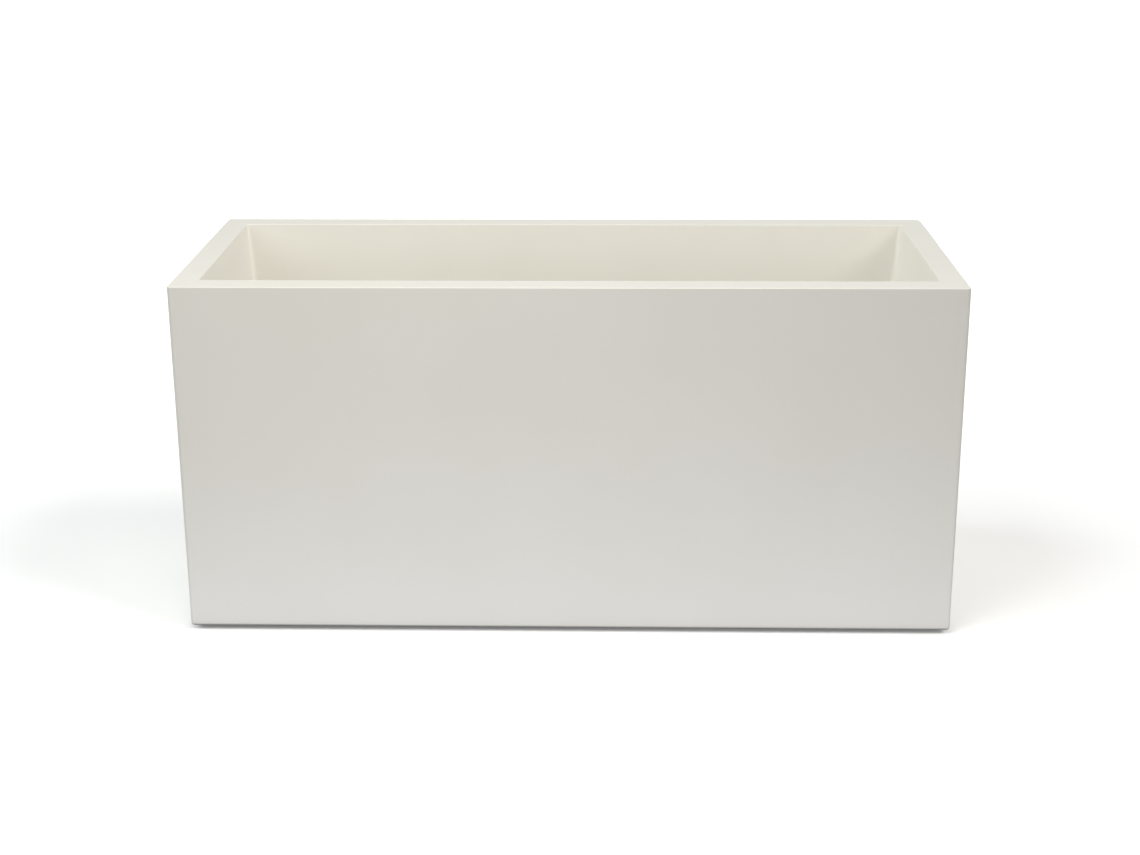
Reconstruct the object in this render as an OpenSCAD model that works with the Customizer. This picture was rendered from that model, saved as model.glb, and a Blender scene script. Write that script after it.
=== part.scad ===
// Rectangular trough planter in moulded glass fibre, with two skins.
// The outer shell is the plain upright box. The inner liner hangs in it: its flat rim closes the
// gap between the skins, its walls slope in towards the floor, and two dished drain fittings are
// let into its floor. Timber battens and bearers fill the gap where soil would bend the skins,
// each drain has a rubber plug that pulls out, and the planter stands on four rubber feet.
//
// Millimetres, +Z up, the front faces -Y. The origin is on the ground under the planter's middle.

/* [Overall size] */
// Width, left to right
body_w = 900; // [860:10:1200]
// Depth, front to back
body_d = 325; // [290:5:420]
// Height from the ground to the top of the rim
body_h = 425; // [380:5:480]

/* [Rim] */
// Width of the flat rim, seen from above
rim_w = 30; // [27:1:40]
// Thickness of the rim flange
rim_t = 5; // [4:0.5:7]
// Rounding of the rim's outer and inner edges
rim_edge_r = 2.5; // [2:0.5:4]
// Depth of the lip that is turned down and bonded inside the outer shell
lip_h = 24; // [15:1:35]

/* [Outer shell] */
// Thickness of the outer walls
shell_t = 5; // [4:0.5:6]
// Thickness of the base
base_t = 6; // [5:0.5:8]
// Radius of the upright outer corners
corner_r = 4.5; // [4.5:0.5:10]
// Radius of the upright corners inside the outer walls
cavity_corner_r = 7; // [6:1:12]
// Rounding of the edge between the walls and the base
base_edge_r = 4; // [2:0.5:4]

/* [Inner liner] */
// Thickness of the liner's walls and floor
liner_t = 4; // [3:0.5:5]
// Slope of the liner's walls from upright, in degrees
draft = 4; // [2:0.5:6]
// Height of the liner's floor above the ground
floor_z = 48; // [44:1:60]
// Radius of the upright inner corners at the rim
inner_corner_r = 5; // [4:1:12]
// Radius of the upright inner corners at the floor
floor_corner_r = 16; // [14:1:28]
// Radius of the cove between the floor and the liner's walls
floor_cove_r = 12; // [8:1:13]

/* [Drains] */
// Inner diameter of the drain fittings' tubes
drain_bore_d = 24; // [20:1:28]
// Wall thickness of the drain fittings
drain_wall_t = 3; // [2:0.5:4]
// Diameter of the drain fittings' dishes, level with the floor
dish_d = 84; // [76:2:90]
// Depth of the dishes below the floor
dish_depth = 3; // [2:0.5:3]
// How far the flange round each dish laps under the floor
dish_lap = 9; // [6:1:9]
// Distance from the middle of the planter to each drain
drain_x = 200; // [160:5:200]
// Length of the plug's stem
plug_stem_h = 22; // [16:1:28]

/* [Feet] */
// Diameter of the rubber feet
foot_d = 40; // [30:1:50]
// Thickness of the rubber feet
foot_h = 5; // [4:0.5:8]
// Distance from the ends of the planter to the feet's centres
foot_inset_x = 90; // [80:5:110]
// Distance from the front and back of the planter to the feet's centres
foot_inset_y = 48; // [42:1:60]

/* [Timber] */
// Width of the bearers under the liner's floor
bearer_w = 70; // [50:5:80]
// Height of the battens between the two skins
batten_h = 50; // [30:5:70]
// Height of the battens' lower edge above the ground
batten_z = 240; // [180:5:260]

/* [Hidden] */

LEFT = -1;
RIGHT = 1;
FRONT = -1;
BACK = 1;
SIDES = [-1, 1];
QUARTERS = [[1, 1, 0], [-1, 1, 90], [-1, -1, 180], [1, -1, 270]];    // x side, y side, turn
round_fn = 96;
face_fn = 48;       // sides of the liner's round corners where they show
back_fn = 24;       // and on its hidden back
past = 2;           // how far a cutter runs past the faces that it cuts
arc_bite = 0.05;    // how far an arc crosses the faces that it rounds, instead of only touching them

gelcoat = [0.87, 0.86, 0.82];
timber = [0.72, 0.58, 0.40];
fitting_grey = [0.62, 0.62, 0.60];
rubber = [0.13, 0.13, 0.13];
steel = [0.72, 0.72, 0.74];

// the outer shell
base_z = foot_h;                            // underside of the base
base_top_z = base_z + base_t;
cavity_w = body_w - 2 * shell_t;
cavity_d = body_d - 2 * shell_t;

// the liner's opening at the top of the rim
mouth_x = body_w / 2 - rim_w;
mouth_y = body_d / 2 - rim_w;
skin_offset = liner_t / cos(draft);         // the liner's thickness, measured level
mouth_edge_h = rim_edge_r * (1 - sin(draft));   // how far the rounding of its edge reaches down

// drain fittings
floor_under_z = floor_z - liner_t;
seat_z = floor_z - dish_depth;              // the level ring in the dish that the plug seals on
drain_tube_r = drain_bore_d / 2 + drain_wall_t;
dish_r = dish_d / 2;
dish_edge_w = 2;                            // level edge of the dish, flush with the floor
seat_w = 6;                                 // how far the seat runs past the plug's head

// plugs
plug_clearance = 0.05;
plug_r = drain_bore_d / 2 - plug_clearance;
plug_tip_r = plug_r - 1;
plug_head_r = plug_r + 6;
plug_head_h = 5;
plug_edge_r = 1.5;
plug_tip_chamfer = 1.5;
pull_ring_r = 11;                           // middle of the ring's wire
pull_ring_wire_r = 2.2;
pull_ring_sink = 1.6;                       // how far the ring's centre lies inside the head
seat_r = plug_head_r + seat_w;

// feet and screws
foot_x = body_w / 2 - foot_inset_x;
foot_y = body_d / 2 - foot_inset_y;
foot_edge_r = 1;
screw_r = 2.5;
screw_gap = 0.05;                           // room round the screw's shank and its conical head
screw_hole_r = screw_r + screw_gap;
screw_head_r = 5;
screw_head_h = 2.7;
screw_recess = 1;
screw_recess_r = screw_head_r + 0.5;
screw_length = 28;
screw_point_h = 5;
screw_tip_r = 0.4;
screw_slot_w = 1.2;
screw_slot_depth = 1;

// timber
bond_gap = 0.3;                             // adhesive between a batten and the sloping liner
bearer_x = foot_x;
bearer_end_gap = 37.5;                      // from the planter's front and back to the bearers' ends
bearer_length = body_d - 2 * bearer_end_gap;
bearer_h = floor_under_z - base_top_z;
batten_top_z = batten_z + batten_h;
long_batten_end_gap = 100;                  // from the planter's ends to the long battens' ends
end_batten_end_gap = 72.5;                  // from the front and back to the end battens' ends
long_batten_length = body_w - 2 * long_batten_end_gap;
end_batten_length = body_d - 2 * end_batten_end_gap;

// Half the opening's size at height z, from its half size at the rim.
function sloped(half, z) = half - (body_h - z) * tan(draft);

// ---------------------------------------------------------------- shared shapes

module quarter_disc(r) {
    intersection() {
        circle(r = r, $fn = round_fn);
        square(r);
    }
}

// The section of an upright wall or block from its centre line out to x = reach.
module edge_section(reach, z0, z1, r_top, r_bottom) {
    translate([0, z0 + r_bottom]) square([reach, z1 - z0 - r_top - r_bottom]);
    if (r_top > 0) {
        translate([0, z1 - r_top]) square([reach - r_top, r_top]);
        translate([reach - r_top, z1 - r_top]) quarter_disc(r_top);
    }
    if (r_bottom > 0) {
        translate([0, z0]) square([reach - r_bottom, r_bottom]);
        translate([reach - r_bottom, z0 + r_bottom]) mirror([0, 1]) quarter_disc(r_bottom);
    }
}

// A block with round upright corners and round top and bottom edges: a slab between the corner
// centres, a run along each end, and a quarter turn at each corner.
module round_block(w, d, z0, z1, corner, r_top = 0, r_bottom = 0) {
    run_x = w / 2 - corner;
    run_y = d / 2 - corner;
    rotate([90, 0, 90]) linear_extrude(2 * run_x, center = true) union() {
        for (side = SIDES) {
            mirror([side < 0 ? 1 : 0, 0]) edge_section(d / 2, z0, z1, r_top, r_bottom);
        }
    }
    for (side = SIDES) {
        mirror([side < 0 ? 1 : 0, 0, 0])
            translate([run_x, 0, 0])
            rotate([90, 0, 0])
            linear_extrude(2 * run_y, center = true)
            edge_section(corner, z0, z1, r_top, r_bottom);
    }
    for (quarter = QUARTERS) {
        translate([quarter[0] * run_x, quarter[1] * run_y, 0])
            rotate(quarter[2])
            rotate_extrude(angle = 90, $fn = round_fn)
            edge_section(corner, z0, z1, r_top, r_bottom);
    }
}

// One round upright corner of the liner's form at height z: the flat top of a cone that points
// down. The corners' centres lie over each other, in line with the rounding of the mouth's edge.
module liner_corner(quarter, z, grow, fn) {
    reach = inner_corner_r + (z - body_h) * tan(draft) + grow / cos(draft);
    translate([quarter[0] * (mouth_x - inner_corner_r), quarter[1] * (mouth_y - inner_corner_r), z])
        rotate(quarter[2])
        rotate_extrude(angle = 90, $fn = fn)
        polygon([[0, 0], [reach, 0], [0, -reach]]);
}

// A quarter of the cove between the liner's floor and walls.
module liner_cove(quarter, grow, fn) {
    ring_r = floor_corner_r - floor_cove_r;
    cove_r = floor_cove_r + grow;
    cove_z = floor_z + floor_cove_r;
    inset = floor_cove_r / cos(draft) + ring_r;
    translate([
        quarter[0] * (sloped(mouth_x, cove_z) - inset),
        quarter[1] * (sloped(mouth_y, cove_z) - inset),
        cove_z
    ])
        rotate(quarter[2])
        rotate_extrude(angle = 90, $fn = fn)
        translate([ring_r, 0])
        intersection() {
            circle(r = cove_r, $fn = fn);
            translate([0, -cove_r]) square(cove_r);
        }
}

// The liner's tapering form, from its coved floor up to height z_top. grow = 0 is the hollow that
// holds the soil, and grow = liner_t is the back of the liner's skin.
module liner_form(grow, z_top) {
    fn = grow > 0 ? back_fn : face_fn;
    hull() {
        for (quarter = QUARTERS) {
            liner_cove(quarter, grow, fn);
            liner_corner(quarter, min(z_top, body_h - mouth_edge_h), grow, fn);
            liner_corner(quarter, z_top, grow, fn);
        }
    }
}

// Everything above the rounding of the rim's inner edge, as a section: x runs from the mouth's
// edge into the rim, and the arc runs from the rim's top down to the sloping wall.
module mouth_edge_section() {
    centre_x = rim_edge_r * (1 / cos(draft) - tan(draft));
    difference() {
        translate([-past, -mouth_edge_h]) square([centre_x + past, past + mouth_edge_h]);
        translate([centre_x, -rim_edge_r]) circle(r = rim_edge_r + arc_bite, $fn = round_fn);
    }
}

// The cutter that rounds the rim's inner edge all the way round the mouth.
module mouth_edge_cutter() {
    run_x = mouth_x - inner_corner_r;
    run_y = mouth_y - inner_corner_r;
    translate([0, 0, body_h]) {
        for (side = SIDES) {
            mirror([0, side < 0 ? 1 : 0, 0])
                translate([0, mouth_y, 0])
                rotate([90, 0, 90])
                linear_extrude(2 * run_x, center = true)
                mouth_edge_section();
            mirror([side < 0 ? 1 : 0, 0, 0])
                translate([mouth_x, 0, 0])
                rotate([90, 0, 0])
                linear_extrude(2 * run_y, center = true)
                mouth_edge_section();
        }
        for (quarter = QUARTERS) {
            translate([quarter[0] * run_x, quarter[1] * run_y, 0])
                rotate(quarter[2])
                rotate_extrude(angle = 90, $fn = round_fn)
                translate([inner_corner_r, 0])
                mouth_edge_section();
        }
    }
}

// ---------------------------------------------------------------- skins

// The upright outer box: four walls and a base, with holes for the drains and the foot screws.
module outer_shell() {
    color(gelcoat) difference() {
        round_block(body_w, body_d, base_z, body_h, corner_r, rim_edge_r, base_edge_r);
        round_block(cavity_w, cavity_d, base_top_z, body_h + past, cavity_corner_r);
        for (side = SIDES) {
            translate([side * drain_x, 0, base_z - past])
                cylinder(r = drain_tube_r, h = base_t + 2 * past, $fn = round_fn);
            for (end = SIDES) {
                translate([side * foot_x, end * foot_y, base_z - past])
                    cylinder(r = screw_hole_r, h = base_t + 2 * past, $fn = round_fn);
            }
        }
    }
}

// The rim, the lip behind it, the sloping walls and the floor, moulded as one skin, with a hole
// in the floor for each drain fitting.
module rim_liner() {
    flange_z = body_h - rim_t;
    lip_z = flange_z - lip_h;
    color(gelcoat) difference() {
        union() {
            round_block(cavity_w, cavity_d, flange_z, body_h, cavity_corner_r);
            difference() {
                round_block(cavity_w, cavity_d, lip_z, flange_z, cavity_corner_r);
                round_block(cavity_w - 2 * liner_t, cavity_d - 2 * liner_t,
                    lip_z - past, flange_z + past, cavity_corner_r - liner_t);
            }
            liner_form(liner_t, flange_z + 1);
        }
        liner_form(0, body_h + past);
        mouth_edge_cutter();
        for (side = SIDES) {
            translate([side * drain_x, 0, floor_under_z - past])
                cylinder(r = dish_r, h = liner_t + 2 * past, $fn = round_fn);
        }
    }
}

// ---------------------------------------------------------------- timber between the skins

// The section of a batten: upright against the outer shell, sloping against the liner.
module batten_section(wall, mouth) {
    polygon([
        [wall, batten_z],
        [wall, batten_top_z],
        [sloped(mouth, batten_top_z) + skin_offset + bond_gap, batten_top_z],
        [sloped(mouth, batten_z) + skin_offset + bond_gap, batten_z]
    ]);
}

module long_batten(side) {
    color(timber)
        mirror([0, side < 0 ? 1 : 0, 0])
        rotate([90, 0, 90])
        linear_extrude(long_batten_length, center = true)
        batten_section(cavity_d / 2, mouth_y);
}

module end_batten(side) {
    color(timber)
        mirror([side < 0 ? 1 : 0, 0, 0])
        rotate([90, 0, 0])
        linear_extrude(end_batten_length, center = true)
        batten_section(cavity_w / 2, mouth_x);
}

module base_bearer(x, drilled) {
    color(timber) difference() {
        translate([x - bearer_w / 2, -bearer_length / 2, base_top_z])
            cube([bearer_w, bearer_length, bearer_h]);
        if (drilled) {
            for (end = SIDES) {
                translate([x, end * foot_y, base_top_z - past])
                    cylinder(r = screw_hole_r, h = screw_length - base_t + past, $fn = round_fn);
            }
        }
    }
}

// ---------------------------------------------------------------- drains

// A dish let into the floor, with a flange under the floor round it and a tube through the base.
module drain_fitting(side) {
    color(fitting_grey) translate([side * drain_x, 0, 0]) rotate_extrude($fn = round_fn)
        polygon([
            [drain_bore_d / 2, base_z],
            [drain_tube_r, base_z],
            [drain_tube_r, floor_under_z - drain_wall_t],
            [dish_r + dish_lap, floor_under_z - drain_wall_t],
            [dish_r + dish_lap, floor_under_z],
            [dish_r, floor_under_z],
            [dish_r, floor_z],
            [dish_r - dish_edge_w, floor_z],
            [seat_r, seat_z],
            [drain_bore_d / 2, seat_z]
        ]);
}

// A tapered rubber bung with a round head that seals on the dish's seat, and a ring to pull it by.
module drain_plug(side) {
    head_top_z = seat_z + plug_head_h;
    color(rubber) translate([side * drain_x, 0, 0]) union() {
        rotate_extrude($fn = round_fn) union() {
            polygon([
                [0, seat_z - plug_stem_h],
                [plug_tip_r - plug_tip_chamfer, seat_z - plug_stem_h],
                [plug_tip_r, seat_z - plug_stem_h + plug_tip_chamfer],
                [plug_r, seat_z],
                [plug_head_r, seat_z],
                [plug_head_r, head_top_z - plug_edge_r],
                [plug_head_r - plug_edge_r, head_top_z - plug_edge_r],
                [plug_head_r - plug_edge_r, head_top_z],
                [0, head_top_z]
            ]);
            translate([plug_head_r - plug_edge_r, head_top_z - plug_edge_r])
                circle(r = plug_edge_r, $fn = round_fn);
        }
        intersection() {
            translate([0, 0, head_top_z - pull_ring_sink])
                rotate([90, 0, 0])
                rotate_extrude($fn = round_fn)
                translate([pull_ring_r, 0])
                circle(r = pull_ring_wire_r, $fn = round_fn);
            translate([-plug_head_r, -plug_head_r, head_top_z - pull_ring_sink])
                cube([2 * plug_head_r, 2 * plug_head_r, 2 * pull_ring_r]);
        }
    }
}

// ---------------------------------------------------------------- feet

// A rubber disc with a rounded lower edge and a countersunk hole.
module foot(x_side, y_side) {
    color(rubber) translate([x_side * foot_x, y_side * foot_y, 0]) difference() {
        rotate_extrude($fn = round_fn) edge_section(foot_d / 2, 0, foot_h, 0, foot_edge_r);
        translate([0, 0, -past]) cylinder(r = screw_hole_r, h = foot_h + 2 * past, $fn = round_fn);
        translate([0, 0, -past]) cylinder(r = screw_recess_r, h = screw_recess + past, $fn = round_fn);
        translate([0, 0, screw_recess])
            cylinder(r1 = screw_head_r + screw_gap, r2 = screw_hole_r, h = screw_head_h, $fn = round_fn);
    }
}

// A countersunk wood screw that points up, with its head in the foot.
module foot_screw() {
    translate([0, 0, screw_recess]) difference() {
        rotate_extrude($fn = round_fn) polygon([
            [0, 0],
            [screw_head_r, 0],
            [screw_r, screw_head_h],
            [screw_r, screw_length - screw_point_h],
            [screw_tip_r, screw_length],
            [0, screw_length]
        ]);
        for (turn = [0, 90]) {
            rotate(turn)
                translate([-screw_r, -screw_slot_w / 2, -past])
                cube([2 * screw_r, screw_slot_w, screw_slot_depth + past]);
        }
    }
}

module foot_screws() {
    color(steel) for (sx = SIDES) {
        for (sy = SIDES) {
            translate([sx * foot_x, sy * foot_y, 0]) foot_screw();
        }
    }
}

outer_shell();
rim_liner();
long_batten(FRONT);  // front_batten
long_batten(BACK);  // back_batten
end_batten(LEFT);  // left_batten
end_batten(RIGHT);  // right_batten
base_bearer(-bearer_x, true);  // base_bearer_left
base_bearer(0, false);  // base_bearer_centre
base_bearer(bearer_x, true);  // base_bearer_right
drain_fitting(LEFT);  // drain_fitting_left
drain_fitting(RIGHT);  // drain_fitting_right
drain_plug(LEFT);  // drain_plug_left
drain_plug(RIGHT);  // drain_plug_right
foot(LEFT, FRONT);  // foot_front_left
foot(RIGHT, FRONT);  // foot_front_right
foot(LEFT, BACK);  // foot_back_left
foot(RIGHT, BACK);  // foot_back_right
foot_screws();
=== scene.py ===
import math

import bmesh
import bpy
from bpy.props import FloatProperty, FloatVectorProperty, IntProperty, PointerProperty
from mathutils import Matrix, Vector


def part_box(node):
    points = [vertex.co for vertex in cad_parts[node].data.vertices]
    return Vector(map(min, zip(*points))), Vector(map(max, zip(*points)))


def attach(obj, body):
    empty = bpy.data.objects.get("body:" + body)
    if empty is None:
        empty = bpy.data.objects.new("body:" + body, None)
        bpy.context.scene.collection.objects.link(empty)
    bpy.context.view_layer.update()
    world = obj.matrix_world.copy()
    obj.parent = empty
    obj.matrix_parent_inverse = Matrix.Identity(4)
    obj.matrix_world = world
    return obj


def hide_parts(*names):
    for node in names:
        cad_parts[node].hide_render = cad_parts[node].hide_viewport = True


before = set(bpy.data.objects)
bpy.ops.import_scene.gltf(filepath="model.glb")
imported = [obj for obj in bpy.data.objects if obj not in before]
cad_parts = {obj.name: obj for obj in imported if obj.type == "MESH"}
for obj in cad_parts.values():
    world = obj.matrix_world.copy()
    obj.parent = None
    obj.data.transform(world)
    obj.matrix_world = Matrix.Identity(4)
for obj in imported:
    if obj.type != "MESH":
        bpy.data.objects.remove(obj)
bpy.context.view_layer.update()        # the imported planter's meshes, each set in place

bl_info = {
    "name": "Moulded trough planter",
    "version": (1, 0, 0),
    "blender": (4, 5, 0),
    "location": "View3D > Sidebar > Trough",
    "description": "Dresses a double-skinned trough planter in moulded glass fibre, "
                   "on a plain studio floor",
    "category": "Object",
}

MM = 0.001
WELD = 0.000001                     # points closer than this are one point, in metres
SENSOR = 36.0                       # width of the camera's sensor, in millimetres
SHARP_ANGLE = math.radians(35.0)    # edges that turn by more than this stay sharp
FLAT_WEIGHT = 80                    # above 50, large faces count for more in the shading

# The sockets of a Mix node that mixes colours.
MIX_FACTOR, MIX_FIRST, MIX_SECOND, MIX_RESULT = 0, 6, 7, 2

# How many faces each arc, wall, side and circle is divided into.
BASE_EDGE_STEPS, RIM_EDGE_STEPS, COVE_STEPS, BEAD_ARC_STEPS = 10, 8, 12, 10
SHELL_ROWS, LINER_ROWS = 14, 16
LONG_SIDE_STEPS, SHORT_SIDE_STEPS = 28, 10
CIRCLE_STEPS, SCREW_STEPS, BEAD_STEPS = 96, 32, 144

# What the frame's boxes say of the planter.
SHELL_LOW, SHELL_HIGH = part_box("outer_shell")
DRAIN_LOW, DRAIN_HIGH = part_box("drain_fitting_right")
FOOT_LOW, FOOT_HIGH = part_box("foot_back_right")
DRAIN_X = (DRAIN_LOW.x + DRAIN_HIGH.x) / 2
FOOT_CENTRE = (FOOT_LOW + FOOT_HIGH) / 2


def length(name, description, default, low, high):
    return FloatProperty(name=name, description=description, default=default, min=low, max=high,
                         subtype="DISTANCE", unit="LENGTH", precision=4)


def colour(name, description, default):
    return FloatVectorProperty(name=name, description=description, default=default, size=3,
                               min=0.0, max=1.0, subtype="COLOR")


def share(name, description, default):
    return FloatProperty(name=name, description=description, default=default, min=0.0, max=1.0,
                         subtype="FACTOR")


def strength(name, description, default):
    return FloatProperty(name=name, description=description, default=default, min=0.0, max=100.0)


def angle(name, description, default):
    return FloatProperty(name=name, description=description, default=math.radians(default),
                         subtype="ANGLE", unit="ROTATION")


class TroughSizes(bpy.types.PropertyGroup):
    """Sizes of the moulding that the frame's boxes don't give."""
    rim_width: length("Rim width", "Width of the flat rim, seen from above",
                      30 * MM, 25 * MM, 40 * MM)
    rim_edge: length("Rim edge radius", "Rounding of the rim's outer and inner edges",
                     0.8 * MM, 0.5 * MM, 4 * MM)
    corner: length("Outer corner radius", "Radius of the upright outer corners",
                   4.5 * MM, 4.5 * MM, 10 * MM)
    cavity_corner: length("Hidden corner radius",
                          "Radius of the upright corners inside the outer walls",
                          7 * MM, 6 * MM, 12 * MM)
    base_edge: length("Base edge radius", "Rounding between the walls and the base",
                      4 * MM, 2 * MM, 4 * MM)
    shell: length("Outer wall", "Thickness of the outer walls", 5 * MM, 4 * MM, 6 * MM)
    base: length("Base", "Thickness of the base", 6 * MM, 5 * MM, 8 * MM)
    skin: length("Liner skin", "Thickness of the liner's walls and floor", 4 * MM, 3 * MM, 5 * MM)
    draft: angle("Draft", "Slope of the liner's walls from upright", 4)
    flange: length("Flange", "Thickness of the rim", 5 * MM, 4 * MM, 7 * MM)
    lip: length("Lip", "Height of the lip that is bonded inside the outer walls",
                24 * MM, 15 * MM, 35 * MM)
    inner_corner: length("Inner corner at the rim", "Radius of the liner's corners at the rim",
                         4 * MM, 3 * MM, 12 * MM)
    floor_corner: length("Inner corner at the floor", "Radius of the liner's corners at the floor",
                         16 * MM, 14 * MM, 28 * MM)
    cove: length("Floor cove", "Rounding between the liner's walls and its floor",
                 12 * MM, 8 * MM, 13 * MM)
    floor_height: length("Floor height", "Height of the liner's floor above the ground",
                         48 * MM, 44 * MM, 60 * MM)
    dish: length("Dish radius", "Radius of the holes in the floor that the drain fittings fill",
                 42 * MM, 38 * MM, 45 * MM)
    drain_hole: length("Drain hole radius",
                       "Radius of the holes in the base that the drain tubes pass through",
                       15 * MM, 12 * MM, 18 * MM)
    screw_hole: length("Screw hole radius", "Radius of the holes for the feet's screws",
                       2.55 * MM, 2 * MM, 4 * MM)
    panel_bow: length("Panel bow",
                      "How far the long walls draw in at their middle as the moulding cures",
                      0.4 * MM, 0.0, 1 * MM)
    bead_width: length("Bead width", "Width of the sealant round each drain fitting",
                       5 * MM, 3 * MM, 7 * MM)
    bead_height: length("Bead height", "Height of the sealant above the floor",
                        1.3 * MM, 0.5 * MM, 2 * MM)
    corner_steps: IntProperty(name="Corner steps", description="Faces round each upright corner",
                              default=20, min=4, max=48)


class TroughColours(bpy.types.PropertyGroup):
    """Colours of the materials."""
    gelcoat: colour("Gelcoat", "Ivory gelcoat on both skins", (0.832, 0.812, 0.748))
    gelcoat_shade: colour("Gelcoat shade", "The warmer tone in the gelcoat's faint clouding",
                          (0.802, 0.776, 0.705))
    gelcoat_roughness: share("Gelcoat roughness", "0 is a mirror and 1 is matt", 0.36)
    timber_light: colour("Timber, early wood", "The pale wood between the growth rings",
                         (0.56, 0.38, 0.20))
    timber_dark: colour("Timber, late wood", "The dark lines of the growth rings",
                        (0.33, 0.18, 0.075))
    rubber: colour("Rubber", "Black rubber of the plugs and the feet", (0.018, 0.018, 0.019))
    pipe: colour("Pipe plastic", "Grey plastic of the drain fittings", (0.30, 0.31, 0.31))
    steel: colour("Steel", "Stainless steel of the foot screws", (0.58, 0.57, 0.55))
    sealant: colour("Sealant", "Cream sealant round the drain fittings", (0.78, 0.765, 0.71))


class TroughStudio(bpy.types.PropertyGroup):
    """The camera, the lights and the floor."""
    camera_place: FloatVectorProperty(name="Camera position",
                                      description="Where the camera stands",
                                      default=(0.0459, -1.9498, 0.9384), subtype="XYZ_LENGTH",
                                      unit="LENGTH")
    camera_down: angle("Camera pitch", "How far the camera looks down", 16.116)
    camera_turn: angle("Camera turn", "How far the camera is turned to the right", -1.356)
    camera_roll: angle("Camera roll", "How far the camera leans to the right", -0.257)
    lens: FloatProperty(name="Lens", description="Focal length in millimetres on a 36 mm sensor",
                        default=52.65, min=20.0, max=200.0)
    rise: FloatProperty(name="Lens shift",
                        description="How far the lens is shifted upward, in picture widths; "
                        "below 0 it keeps the planter's upright edges closer to upright",
                        default=-0.12, min=-0.5, max=0.5)
    floor: colour("Floor", "Plain pale studio floor", (0.95, 0.95, 0.95))
    floor_glow: strength("Floor glow",
                         "Light from below the translucent floor, which softens the shadows on it",
                         0.14)
    room: strength("Room light", "Strength of the soft light from the walls and the ceiling", 0.28)
    front_room: strength("Front room light", "Strength of the soft light from the wall in front",
                         0.65)
    front_tint: colour("Front room light's colour", "Colour of the light from the wall in front",
                       (1.0, 0.985, 0.955))
    left_sky: strength("Left skylight", "Light from the high left, in watts on a square metre",
                       1.53)
    left_tint: colour("Left skylight's colour", "Colour of the light from the high left",
                      (0.94, 0.995, 1.0))
    right_sky: strength("Right skylight", "Light from the high right, in watts on a square metre",
                        1.48)
    right_tint: colour("Right skylight's colour", "Colour of the light from the high right",
                       (0.98, 0.965, 0.93))
    front_box: strength("Front softbox", "Power of the small low softbox in front, in watts", 3.0)
    key_box: strength("Key softbox",
                      "Power of the softbox in front, a little to the left and above the rim, "
                      "in watts",
                      2.8)
    key_tint: colour("Key softbox's colour", "Colour of the light from the softbox in front",
                     (1.0, 0.975, 0.93))
    back_box: strength("Back softbox", "Power of the low softbox behind, in watts", 32.0)
    bounce: strength("Bounce",
                     "Power of the light that the paper in front of the planter throws up, "
                     "in watts",
                     1.15)
    bounce_tint: colour("Bounce's colour", "Colour of the light from the paper in front",
                        (0.82, 0.85, 1.0))


# ---------------------------------------------------------------------- shader maths

class Signal:
    """A value that varies over a surface.

    Signals and numbers can be added, subtracted, multiplied and divided."""

    def __init__(self, wiring, socket):
        self.wiring = wiring
        self.socket = socket

    def __add__(self, other):
        return self.wiring.maths("ADD", self, other)

    __radd__ = __add__

    def __sub__(self, other):
        return self.wiring.maths("SUBTRACT", self, other)

    def __rsub__(self, other):
        return self.wiring.maths("SUBTRACT", other, self)

    def __mul__(self, other):
        return self.wiring.maths("MULTIPLY", self, other)

    __rmul__ = __mul__

    def __truediv__(self, other):
        return self.wiring.maths("DIVIDE", self, other)

    def __rtruediv__(self, other):
        return self.wiring.maths("DIVIDE", other, self)

    def fraction(self):
        return self.wiring.maths("FRACT", self)

    def clamped(self, low, high):
        """0 up to low, 1 from high, and a smooth rise between them."""
        return self.wiring.node("ShaderNodeMapRange", {"interpolation_type": "SMOOTHSTEP"},
                                {"Value": self, "From Min": low, "From Max": high})


class Wiring:
    """Adds nodes to the tree of a material or of the room, and joins them up."""

    def __init__(self, tree):
        self.tree = tree

    def node(self, kind, settings=None, sockets=None, output=0):
        """Adds a node: first its settings, then the values or links of its sockets."""
        made = self.tree.nodes.new(kind)
        for name, value in (settings or {}).items():
            setattr(made, name, value)
        for key, value in (sockets or {}).items():
            self.plug(made.inputs[key], value)
        return Signal(self, made.outputs[output])

    def plug(self, socket, value):
        if isinstance(value, Signal):
            self.tree.links.new(value.socket, socket)
        elif hasattr(socket.default_value, "__len__"):
            size = len(socket.default_value)
            socket.default_value = (tuple(value) + (1.0,))[:size]
        else:
            socket.default_value = value

    def maths(self, operation, *values):
        return self.node("ShaderNodeMath", {"operation": operation}, dict(enumerate(values)))

    def vector(self, operation, *values, output=0):
        return self.node("ShaderNodeVectorMath", {"operation": operation},
                         dict(enumerate(values)), output)

    def blend(self, factor, first, second):
        """A colour that goes from first to second as factor goes from 0 to 1."""
        return self.node("ShaderNodeMix", {"data_type": "RGBA"},
                         {MIX_FACTOR: factor, MIX_FIRST: first, MIX_SECOND: second}, MIX_RESULT)

    def part(self, vector, axis):
        """The x, y or z of a vector."""
        return self.node("ShaderNodeSeparateXYZ", {}, {0: vector}, axis)

    def grain(self, where, size, detail=2.0, roughness=0.5):
        """Soft noise from 0 to 1 whose lumps are about size metres across."""
        return self.node("ShaderNodeTexNoise", {}, {"Vector": where, "Scale": 1.0 / size,
                                                    "Detail": detail, "Roughness": roughness})

    def stretched(self, where, x, y, z):
        """The place, drawn out along each axis whose number is below 1."""
        return self.vector("MULTIPLY", where, (x, y, z))


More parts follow.
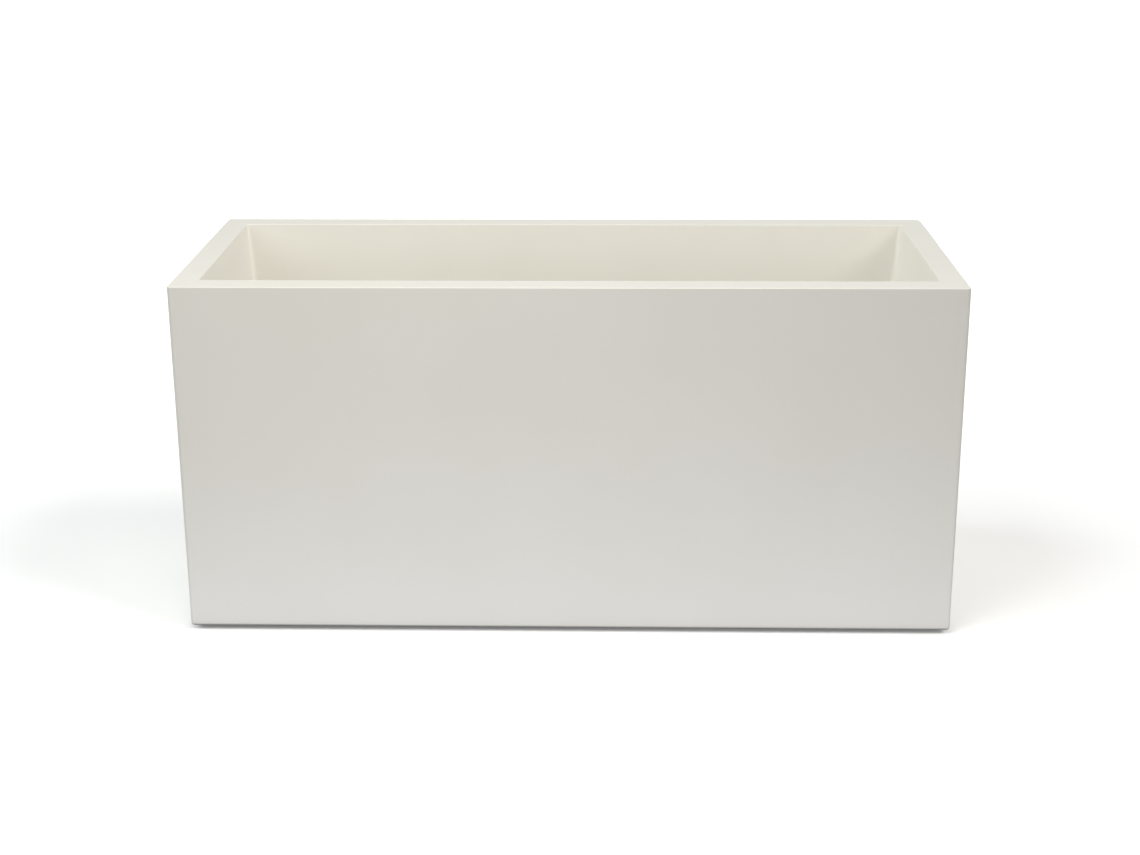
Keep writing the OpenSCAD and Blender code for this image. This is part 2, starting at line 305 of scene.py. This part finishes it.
class Finish(Wiring):
    """A procedural material.

    Constants go straight on its shader, and everything else is a Signal."""

    def __init__(self, name, **constants):
        self.material = bpy.data.materials.new(name)
        self.material.use_nodes = True
        super().__init__(self.material.node_tree)
        self.shader = self.tree.nodes["Principled BSDF"]
        for word, value in constants.items():
            socket = word.replace("_", " ").title().replace("Ior", "IOR")
            self.shader.inputs[socket].default_value = value

    def place(self):
        """The point on the piece, in metres."""
        return self.node("ShaderNodeTexCoord", output="Object")

    def finish(self, base, roughness, height=None):
        """Links the colour, the roughness and the height of the relief in metres."""
        self.plug(self.shader.inputs["Base Color"], base)
        self.plug(self.shader.inputs["Roughness"], roughness)
        if height is not None:
            relief = self.node("ShaderNodeBump", {},
                               {"Strength": 1.0, "Distance": 1.0, "Height": height})
            self.plug(self.shader.inputs["Normal"], relief)
        return self.material


def made_once(name, build):
    """The material of that name, built the first time it is asked for."""
    found = bpy.data.materials.get(name)
    return found if found else build(name)


def gelcoat(name):
    """Gelcoat from a polished mould: faintly clouded, with long ripples and fine orange peel."""
    tones = bpy.context.scene.trough_colours
    clouding, speckling = 0.5, 0.25
    ripple_height, peel_height = 0.14 * MM, 0.0035 * MM
    coat = Finish(name, coat_weight=0.10, coat_roughness=0.2, specular_ior_level=0.5)
    where = coat.place()
    cloud = coat.grain(where, size=160 * MM, detail=3.0)
    haze = coat.grain(where, size=35 * MM, detail=4.0, roughness=0.6)
    ripple = coat.grain(where, size=70 * MM, detail=1.0)
    peel = coat.grain(where, size=3.2 * MM)
    speck = coat.grain(where, size=1.6 * MM, roughness=0.7)
    tone = coat.blend(cloud.clamped(0.35, 0.75) * clouding, tones.gelcoat, tones.gelcoat_shade)
    tone = coat.blend(speck.clamped(0.35, 0.75) * speckling, tone, tones.gelcoat_shade)
    roughness = tones.gelcoat_roughness + 0.08 * (haze - 0.5) + 0.04 * (cloud - 0.5)
    return coat.finish(tone, roughness, ripple_height * ripple + peel_height * peel)


def timber(name, along):
    """Sawn softwood sealed with resin; along is the axis that the grain runs along."""
    tones = bpy.context.scene.trough_colours
    pith, ring_width, ring_wander = (130 * MM, 90 * MM, 50 * MM), 4.2 * MM, 2.2
    fibre_height, late_height, drawing = 0.10 * MM, 0.04 * MM, 0.06
    wood = Finish(name, specular_ior_level=0.4)
    where = wood.place()
    drawn_out = wood.stretched(where, *(drawing if axis == along else 1.0 for axis in "xyz"))
    across = [0.0 if axis == along else 1.0 for axis in "xyz"]
    off_axis = wood.vector("MULTIPLY", wood.vector("ADD", where, pith), across)
    from_pith = wood.vector("LENGTH", off_axis, output="Value")
    wander = wood.grain(drawn_out, size=30 * MM, detail=3.0)
    ring = (from_pith / ring_width + ring_wander * wander).fraction()
    late = ring.clamped(0.45, 0.95)
    fibre = wood.grain(drawn_out, size=1.1 * MM, detail=3.0, roughness=0.65)
    tone = wood.blend(late * 0.75, tones.timber_light, tones.timber_dark)
    tone = wood.blend(fibre.clamped(0.4, 0.8) * 0.30, tone, tones.timber_dark)
    height = fibre_height * fibre + late_height * late
    return wood.finish(tone, 0.62 - 0.16 * late + 0.10 * (fibre - 0.5), height)


def rubber(name):
    """Moulded black rubber with a faint bloom."""
    tones = bpy.context.scene.trough_colours
    bloomed, pore_height = (0.055, 0.055, 0.056), 0.018 * MM
    soft = Finish(name, specular_ior_level=0.35)
    where = soft.place()
    bloom = soft.grain(where, size=12 * MM, detail=4.0, roughness=0.6).clamped(0.40, 0.75)
    pores = soft.grain(where, size=0.6 * MM)
    tone = soft.blend(bloom * 0.35, tones.rubber, bloomed)
    return soft.finish(tone, 0.52 + 0.18 * bloom + 0.08 * (pores - 0.5), pore_height * pores)


def pipe_plastic(name):
    """Grey plastic with faint lines down the fitting, as it came out of its mould."""
    tones = bpy.context.scene.trough_colours
    darker, line_height = tuple(0.8 * part for part in tones.pipe), 0.012 * MM
    pipe = Finish(name, specular_ior_level=0.5)
    where = pipe.place()
    lines = pipe.grain(pipe.stretched(where, 1.0, 1.0, 0.03), size=0.9 * MM)
    cloud = pipe.grain(where, size=20 * MM, detail=3.0)
    tone = pipe.blend(cloud.clamped(0.3, 0.8) * 0.5, tones.pipe, darker)
    return pipe.finish(tone, 0.38 + 0.12 * lines, line_height * lines)


def steel(name):
    """Stainless steel with the fine marks of turning."""
    tones = bpy.context.scene.trough_colours
    dull, mark_height = tuple(0.75 * part for part in tones.steel), 0.006 * MM
    bright = Finish(name, metallic=1.0)
    where = bright.place()
    turned = bright.grain(bright.stretched(where, 0.2, 0.2, 1.0), size=0.4 * MM)
    stain = bright.grain(where, size=4 * MM, detail=3.0).clamped(0.45, 0.8)
    return bright.finish(bright.blend(stain * 0.4, tones.steel, dull),
                         0.26 + 0.14 * turned + 0.10 * stain, mark_height * turned)


def sealant(name):
    """Cured sealant smoothed with a wet finger: soft drag marks and a low sheen."""
    tones = bpy.context.scene.trough_colours
    dusty, drag_height = tuple(0.9 * part for part in tones.sealant), 0.08 * MM
    paste = Finish(name, specular_ior_level=0.4)
    where = paste.place()
    drag = paste.grain(where, size=4 * MM, detail=3.0)
    dust = paste.grain(where, size=12 * MM, detail=4.0, roughness=0.6).clamped(0.4, 0.8)
    return paste.finish(paste.blend(dust * 0.6, tones.sealant, dusty), 0.42 + 0.15 * drag,
                        drag_height * drag)


# ---------------------------------------------------------------------- mesh building

def rounded_loop(half_x, half_y, radius, z, sizes):
    """Points round a rectangle with round corners, anticlockwise from above, always as many."""
    steps = sizes.corner_steps
    run_x, run_y = half_x - radius, half_y - radius
    points = []
    for quarter, (side_x, side_y) in enumerate(((1, 1), (-1, 1), (-1, -1), (1, -1))):
        for step in range(steps + 1):
            turn = math.pi / 2 * (quarter + step / steps)
            points.append(Vector((side_x * run_x + radius * math.cos(turn),
                                  side_y * run_y + radius * math.sin(turn), z)))
        count = LONG_SIDE_STEPS if quarter % 2 == 0 else SHORT_SIDE_STEPS
        turn = math.pi / 2 * (quarter + 1)
        start = points[-1]
        end_x = side_x if quarter % 2 else -side_x
        end_y = side_y if quarter % 2 == 0 else -side_y
        end = Vector((end_x * run_x + radius * math.cos(turn),
                      end_y * run_y + radius * math.sin(turn), z))
        points += [start.lerp(end, step / count) for step in range(1, count)]
    return points


def circle_loop(x, y, radius, z, steps=CIRCLE_STEPS):
    """Points round a circle, anticlockwise from above."""
    return [Vector((x + radius * math.cos(2 * math.pi * step / steps),
                    y + radius * math.sin(2 * math.pi * step / steps), z)) for step in range(steps)]


def arc(centre, radius, start, end, steps):
    """Points of an arc in a section, from angle start to angle end in degrees."""
    turns = [math.radians(start + (end - start) * step / steps) for step in range(steps + 1)]
    return [(centre[0] + radius * math.cos(turn), centre[1] + radius * math.sin(turn))
            for turn in turns]


class Moulding:
    """A mesh that grows loop by loop, and becomes one piece of the planter."""

    def __init__(self):
        self.mesh = bmesh.new()

    def loop(self, points):
        return [self.mesh.verts.new(point) for point in points]

    def join(self, first, second):
        """Faces between two loops of as many points."""
        for index, corner in enumerate(first):
            after = (index + 1) % len(first)
            self.mesh.faces.new((corner, first[after], second[after], second[index]))

    def loft(self, loops):
        """Faces from each loop to the next; returns the first and the last loop."""
        made = [self.loop(points) for points in loops]
        for first, second in zip(made, made[1:]):
            self.join(first, second)
        return made[0], made[-1]

    def edges_of(self, loop):
        found = []
        for index, corner in enumerate(loop):
            after = loop[(index + 1) % len(loop)]
            edge = self.mesh.edges.get((corner, after))
            found.append(edge if edge else self.mesh.edges.new((corner, after)))
        return found

    def flat(self, outer, holes=()):
        """A flat face inside the outer loop, round the holes."""
        edges = self.edges_of(outer)
        for hole in holes:
            edges += self.edges_of(hole)
        filled = bmesh.ops.triangle_fill(self.mesh, use_beauty=True, use_dissolve=False,
                                         edges=edges)
        if not any(isinstance(part, bmesh.types.BMFace) for part in filled["geom"]):
            raise RuntimeError("a flat part of the moulding couldn't be filled")

    def piece(self, name, material, body, replaced=()):
        """Checks that the mesh is closed and makes it a smooth piece that rides on the body."""
        bmesh.ops.remove_doubles(self.mesh, verts=self.mesh.verts, dist=WELD)
        bmesh.ops.recalc_face_normals(self.mesh, faces=self.mesh.faces)
        open_edges = [edge for edge in self.mesh.edges if not edge.is_manifold]
        if open_edges:
            raise RuntimeError(f"{name} has {len(open_edges)} open edges")
        data = bpy.data.meshes.new(name)
        self.mesh.to_mesh(data)
        self.mesh.free()
        data.shade_smooth()
        data.set_sharp_from_angle(angle=SHARP_ANGLE)
        data.materials.append(material)
        made = bpy.data.objects.new(name, data)
        bpy.context.scene.collection.objects.link(made)
        even = made.modifiers.new("Even shading on the flats", "WEIGHTED_NORMAL")
        even.keep_sharp = True
        even.weight = FLAT_WEIGHT
        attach(made, body)
        if replaced:
            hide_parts(*replaced)


def dress(node, material):
    """Gives a piece of the frame its material."""
    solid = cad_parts[node]
    solid.data.materials.clear()
    solid.data.materials.append(material)
    for polygon in solid.data.polygons:
        polygon.material_index = 0


# ---------------------------------------------------------------------- the planter

def bowed(points, sizes, half_y, low, high):
    """Draws the long walls in a little between their ends, as a cured moulding does."""
    reach = SHELL_HIGH.x
    for point in points:
        if abs(abs(point.y) - half_y) < WELD:
            along = max(0.0, 1 - (point.x / reach) ** 2)
            up = max(0.0, 1 - ((2 * point.z - low - high) / (high - low)) ** 2)
            point.y -= math.copysign(sizes.panel_bow * along * up, point.y)
    return points


class TROUGH_OT_outer_shell(bpy.types.Operator):
    """Build the upright outer box with its round corners and edges"""
    bl_idname = "trough.outer_shell"
    bl_label = "Outer Shell"

    def execute(self, context):
        sizes = context.scene.trough_sizes
        low, high = SHELL_LOW, SHELL_HIGH
        run_x, run_y = high.x - sizes.corner, high.y - sizes.corner

        def ring(reach, z):
            return rounded_loop(run_x + reach, run_y + reach, reach, z, sizes)

        edge, rim_edge = sizes.base_edge, sizes.rim_edge
        section = arc((sizes.corner - edge, low.z + edge), edge, -90, 0, BASE_EDGE_STEPS)
        foot_of_wall, top_of_wall = low.z + edge, high.z - rim_edge
        section += [(sizes.corner, foot_of_wall + (top_of_wall - foot_of_wall) * row / SHELL_ROWS)
                    for row in range(1, SHELL_ROWS)]
        section += arc((sizes.corner - rim_edge, top_of_wall), rim_edge, 0, 90, RIM_EDGE_STEPS)
        shell = Moulding()
        loops = [bowed(ring(reach, z), sizes, high.y, foot_of_wall, top_of_wall)
                 for reach, z in section]
        base_top = low.z + sizes.base
        inside_x, inside_y = high.x - sizes.shell, high.y - sizes.shell
        loops += [rounded_loop(inside_x, inside_y, sizes.cavity_corner, z, sizes)
                  for z in (high.z, base_top)]
        under, over = shell.loft(loops)
        holes = [(side * DRAIN_X, 0.0, sizes.drain_hole, CIRCLE_STEPS) for side in (-1, 1)]
        holes += [(x * FOOT_CENTRE.x, y * FOOT_CENTRE.y, sizes.screw_hole, SCREW_STEPS)
                  for x in (-1, 1) for y in (-1, 1)]
        tubes = [shell.loft([circle_loop(x, y, radius, z, steps) for z in (low.z, base_top)])
                 for x, y, radius, steps in holes]
        shell.flat(under, [lower for lower, upper in tubes])
        shell.flat(over, [upper for lower, upper in tubes])
        shell.piece("shell_moulding", made_once("Ivory gelcoat", gelcoat), "planter",
                    ("outer_shell",))
        return {"FINISHED"}


class TROUGH_OT_rim_liner(bpy.types.Operator):
    """Build the rim and the sloping liner with its coved floor and its holes for the drains"""
    bl_idname = "trough.rim_liner"
    bl_label = "Rim and Liner"

    def execute(self, context):
        sizes = context.scene.trough_sizes
        top = SHELL_HIGH.z
        slope = math.tan(sizes.draft)
        lean_cos, lean_sin = math.cos(sizes.draft), math.sin(sizes.draft)
        mouth_x, mouth_y = SHELL_HIGH.x - sizes.rim_width, SHELL_HIGH.y - sizes.rim_width
        cove_z = sizes.floor_height + sizes.cove
        ring = sizes.floor_corner - sizes.cove
        wall_foot = cove_z - sizes.cove * lean_sin
        edge = sizes.rim_edge
        edge_centre = edge * (1 / lean_cos - slope)
        wall_top = top - edge + edge * lean_sin
        foot_radius = ring + sizes.cove * lean_cos

        def wall_radius(z):
            widening = sizes.inner_corner - foot_radius
            return foot_radius + widening * (z - wall_foot) / (top - wall_foot)

        def row(inset, radius, z, grow=0.0):
            return rounded_loop(mouth_x - inset + grow, mouth_y - inset + grow, radius + grow, z,
                                sizes)

        seam = sizes.rim_width - sizes.shell
        corner = sizes.cavity_corner
        loops = [row(-seam, corner, top)]
        top_radius = wall_radius(wall_top)
        lean = math.degrees(sizes.draft)
        for offset, z in arc((edge_centre, top - edge), edge, 90, 180 - lean, RIM_EDGE_STEPS):
            loops.append(row(-offset, top_radius + (offset + (top - wall_top) * slope), z))
        for step in range(1, LINER_ROWS):
            z = wall_top + (wall_foot - wall_top) * step / LINER_ROWS
            loops.append(row((top - z) * slope, wall_radius(z), z))
        cove_inset = (top - cove_z) * slope + sizes.cove / lean_cos
        for reach, z in arc((0.0, cove_z), sizes.cove, -lean, -90, COVE_STEPS):
            loops.append(row(cove_inset - reach, ring + reach, z))
        liner = Moulding()
        floor = liner.loft(loops)[-1]

        skin = sizes.skin
        level_skin = skin / lean_cos
        flange_z = top - sizes.flange
        lip_z = flange_z - sizes.lip
        back = [row(-seam, corner, top), row(-seam, corner, lip_z),
                row(-seam + skin, corner - skin, lip_z), row(-seam + skin, corner - skin, flange_z)]
        back.append(row((top - flange_z) * slope, wall_radius(flange_z), flange_z, level_skin))
        back.append(row((top - wall_foot) * slope, foot_radius, wall_foot, level_skin))
        for reach, z in arc((0.0, cove_z), sizes.cove + skin, -lean, -90, COVE_STEPS)[1:]:
            back.append(row(cove_inset - reach, ring + reach, z))
        under = liner.loft(back)[-1]

        holes = [liner.loft([circle_loop(side * DRAIN_X, 0.0, sizes.dish, z)
                             for z in (sizes.floor_height, sizes.floor_height - skin)])
                 for side in (-1, 1)]
        liner.flat(floor, [upper for upper, lower in holes])
        liner.flat(under, [lower for upper, lower in holes])
        liner.piece("rim_and_liner_moulding", made_once("Ivory gelcoat", gelcoat),
                    "planter", ("rim_liner",))
        return {"FINISHED"}


class TROUGH_OT_timber(bpy.types.Operator):
    """Give the battens and the bearers between the skins their sawn softwood"""
    bl_idname = "trough.timber"
    bl_label = "Timber"

    def execute(self, context):
        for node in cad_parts:
            if "batten" in node or "bearer" in node:
                along = "x" if node in ("front_batten", "back_batten") else "y"
                dress(node, made_once(f"Sawn softwood along {along}",
                                      lambda name: timber(name, along)))
        return {"FINISHED"}


class TROUGH_OT_drains(bpy.types.Operator):
    """Give the drain fittings and their plugs their plastic and rubber"""
    bl_idname = "trough.drains"
    bl_label = "Drains"

    def execute(self, context):
        for side in ("left", "right"):
            dress(f"drain_fitting_{side}", made_once("Grey pipe plastic", pipe_plastic))
            dress(f"drain_plug_{side}", made_once("Black rubber", rubber))
        return {"FINISHED"}


class TROUGH_OT_sealant(bpy.types.Operator):
    """Lay a bead of sealant over the joint round each drain fitting"""
    bl_idname = "trough.sealant"
    bl_label = "Sealant"

    def execute(self, context):
        sizes = context.scene.trough_sizes
        half_width = sizes.bead_width / 2
        slow_drift, quick_drift, swelling = 0.3 * MM, 0.1 * MM, 0.12
        # In shares of the bead's half width and height: a half round, and a foot in the joint.
        section = arc((0.0, 0.0), 1.0, 0, 180, BEAD_ARC_STEPS) + [(-0.96, -0.15), (0.96, -0.15)]
        for side, name in ((-1, "left"), (1, "right")):
            bead = Moulding()
            rings = []
            for across, up in section:
                ring = []
                for step in range(BEAD_STEPS):
                    turn = 2 * math.pi * step / BEAD_STEPS
                    drift = slow_drift * math.sin(3 * turn + side)
                    drift += quick_drift * math.sin(8 * turn)
                    swell = 1 + swelling * math.sin(5 * turn + 2 * side)
                    reach = sizes.dish + drift + across * half_width * swell
                    z = sizes.floor_height + up * sizes.bead_height * swell
                    ring.append(Vector((side * DRAIN_X + reach * math.cos(turn),
                                        reach * math.sin(turn), z)))
                rings.append(ring)
            first, last = bead.loft(rings)
            bead.join(last, first)
            bead.piece(f"sealant_bead_{name}", made_once("Cream sealant", sealant),
                       "planter")
        return {"FINISHED"}


class TROUGH_OT_feet(bpy.types.Operator):
    """Give the feet and their screws their rubber and steel"""
    bl_idname = "trough.feet"
    bl_label = "Feet"

    def execute(self, context):
        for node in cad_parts:
            if node.startswith("foot_") and node != "foot_screws":
                dress(node, made_once("Black rubber", rubber))
        dress("foot_screws", made_once("Stainless steel", steel))
        return {"FINISHED"}


# ---------------------------------------------------------------------- the studio

def add_lamp(data, place, aim, tint):
    """Puts a light at place, facing along aim, where no camera sees the lamp itself."""
    data.color = tint
    lamp = bpy.data.objects.new(data.name, data)
    bpy.context.scene.collection.objects.link(lamp)
    facing = aim.to_track_quat("-Z", "Y").to_matrix().to_4x4()
    lamp.matrix_world = Matrix.Translation(place) @ facing
    lamp.visible_camera = False


def softbox(name, place, target, width, height, power, tint=(1.0, 1.0, 1.0)):
    """A rectangular area light at place that faces target."""
    data = bpy.data.lights.new(name, "AREA")
    data.shape = "RECTANGLE"
    data.size, data.size_y = width, height
    data.energy = power
    add_lamp(data, place, Vector(target) - Vector(place), tint)


def skylight(name, comes_from, spread, power, tint):
    """Even light over the whole studio from one side, as soft as a disc of spread degrees."""
    data = bpy.data.lights.new(name, "SUN")
    data.angle = math.radians(spread)
    data.energy = power
    add_lamp(data, comes_from, -Vector(comes_from), tint)


class TROUGH_OT_studio(bpy.types.Operator):
    """Set up the pale floor, the soft lights and the camera"""
    bl_idname = "trough.studio"
    bl_label = "Studio"

    def execute(self, context):
        scene = context.scene
        studio = scene.trough_studio
        self.lay_floor(scene, studio)
        self.light_room(scene, studio)
        skylight("Left skylight", comes_from=(-1.5, -0.4, 1.5), spread=50,
                 power=studio.left_sky, tint=studio.left_tint)
        skylight("Right skylight", comes_from=(1.5, -0.5, 1.6), spread=26,
                 power=studio.right_sky, tint=studio.right_tint)
        softbox("Front softbox", place=(0.75, -3.6, 1.0), target=(0, 0, 0.3), width=0.5,
                height=0.25, power=studio.front_box)
        softbox("Key softbox", place=(-0.2, -0.85, 1.0), target=(-0.15, 0, 0.15), width=0.6,
                height=0.4, power=studio.key_box, tint=studio.key_tint)
        softbox("Back softbox", place=(0, 2.4, 0.2), target=(0, 0, 0.2), width=3.0, height=0.34,
                power=studio.back_box)
        softbox("Bounce", place=(0.0, -0.4, 0.002), target=(0.0, -0.4, 1.0), width=1.2,
                height=0.46, power=studio.bounce, tint=studio.bounce_tint)
        self.place_camera(scene, studio)
        scene.view_settings.view_transform = "Standard"
        return {"FINISHED"}

    def light_room(self, scene, studio):
        """Soft light from the studio's walls and ceiling, stronger from the wall in front."""
        world = bpy.data.worlds.new("Studio room")
        world.use_nodes = True
        scene.world = world
        room = Wiring(world.node_tree)
        background = room.tree.nodes["Background"]
        direction = room.node("ShaderNodeTexCoord", output="Generated")
        height = room.part(direction, "Z")
        front_half = 1 - room.part(direction, "Y").clamped(-0.3, 0.3)
        below_ceiling = 1 - height.clamped(0.5, 0.85)
        in_front = front_half * below_ceiling
        level = studio.room + (studio.front_room - studio.room) * in_front
        tint = room.blend(in_front, (1.0, 1.0, 1.0), studio.front_tint)
        room.plug(background.inputs["Color"], tint)
        above_floor = height.clamped(-0.02, 0.0)
        room.plug(background.inputs["Strength"], above_floor * level)

    def place_camera(self, scene, studio):
        """The photograph's viewpoint."""
        data = bpy.data.cameras.new("Photograph's viewpoint")
        data.sensor_fit = "HORIZONTAL"
        data.sensor_width = SENSOR
        data.lens = studio.lens
        data.shift_y = studio.rise
        camera = bpy.data.objects.new("Photograph's viewpoint", data)
        scene.collection.objects.link(camera)
        camera.matrix_world = (Matrix.Translation(studio.camera_place)
                               @ Matrix.Rotation(-studio.camera_turn, 4, "Z")
                               @ Matrix.Rotation(math.pi / 2 - studio.camera_down, 4, "X")
                               @ Matrix.Rotation(studio.camera_roll, 4, "Z"))
        scene.camera = camera

    def lay_floor(self, scene, studio):
        """A round floor that the planter stands on, and that curves up into the studio's wall."""
        rings, flat, bend, top = (0.5, 2.0, 5.0), 9.0, 3.0, 8.0
        section = [(radius, 0.0) for radius in rings]
        section += arc((flat, bend), bend, -90, 0, COVE_STEPS) + [(flat + bend, top)]
        cove = Moulding()
        middle = cove.loft([circle_loop(0, 0, radius, z) for radius, z in section])[0]
        cove.flat(middle)
        bmesh.ops.recalc_face_normals(cove.mesh, faces=cove.mesh.faces)
        data = bpy.data.meshes.new("studio_floor")
        cove.mesh.to_mesh(data)
        cove.mesh.free()
        data.shade_smooth()
        paint = Finish("Pale floor paint", specular_ior_level=0.2,
                       emission_color=(1.0, 1.0, 1.0, 1.0), emission_strength=studio.floor_glow)
        cloud = paint.grain(paint.place(), size=500 * MM, detail=3.0)
        darker = tuple(0.985 * part for part in studio.floor)
        tone = paint.blend(cloud, studio.floor, darker)
        data.materials.append(paint.finish(tone, 0.75 + 0.1 * cloud))
        floor = bpy.data.objects.new("studio_floor", data)
        scene.collection.objects.link(floor)
        # The camera sees the floor and the shadows on it, but none of its light is on the planter.
        floor.visible_diffuse = False
        floor.visible_glossy = False
        floor.visible_shadow = False


class TROUGH_PT_sidebar(bpy.types.Panel):
    """Lists the planter's settings and the steps that build it"""
    bl_label = "Trough Planter"
    bl_idname = "TROUGH_PT_sidebar"
    bl_space_type = "VIEW_3D"
    bl_region_type = "UI"
    bl_category = "Trough"

    def draw(self, context):
        layout = self.layout
        scene = context.scene
        for title, settings in (("Sizes", scene.trough_sizes), ("Colours", scene.trough_colours),
                                ("Studio", scene.trough_studio)):
            box = layout.box()
            box.label(text=title)
            for name in settings.__annotations__:
                box.prop(settings, name)
        for operator in OPERATORS:
            layout.operator(operator.bl_idname)


OPERATORS = (TROUGH_OT_outer_shell, TROUGH_OT_rim_liner, TROUGH_OT_timber, TROUGH_OT_drains,
             TROUGH_OT_sealant, TROUGH_OT_feet, TROUGH_OT_studio)
CLASSES = (TroughSizes, TroughColours, TroughStudio, *OPERATORS, TROUGH_PT_sidebar)


def register():
    for made in CLASSES:
        bpy.utils.register_class(made)
    bpy.types.Scene.trough_sizes = PointerProperty(type=TroughSizes)
    bpy.types.Scene.trough_colours = PointerProperty(type=TroughColours)
    bpy.types.Scene.trough_studio = PointerProperty(type=TroughStudio)


def unregister():
    del bpy.types.Scene.trough_studio
    del bpy.types.Scene.trough_colours
    del bpy.types.Scene.trough_sizes
    for made in reversed(CLASSES):
        bpy.utils.unregister_class(made)


def main():
    register()
    bpy.ops.trough.outer_shell()
    bpy.ops.trough.rim_liner()
    bpy.ops.trough.timber()
    bpy.ops.trough.drains()
    bpy.ops.trough.sealant()
    bpy.ops.trough.feet()
    bpy.ops.trough.studio()


if __name__ == "__main__":
    main()
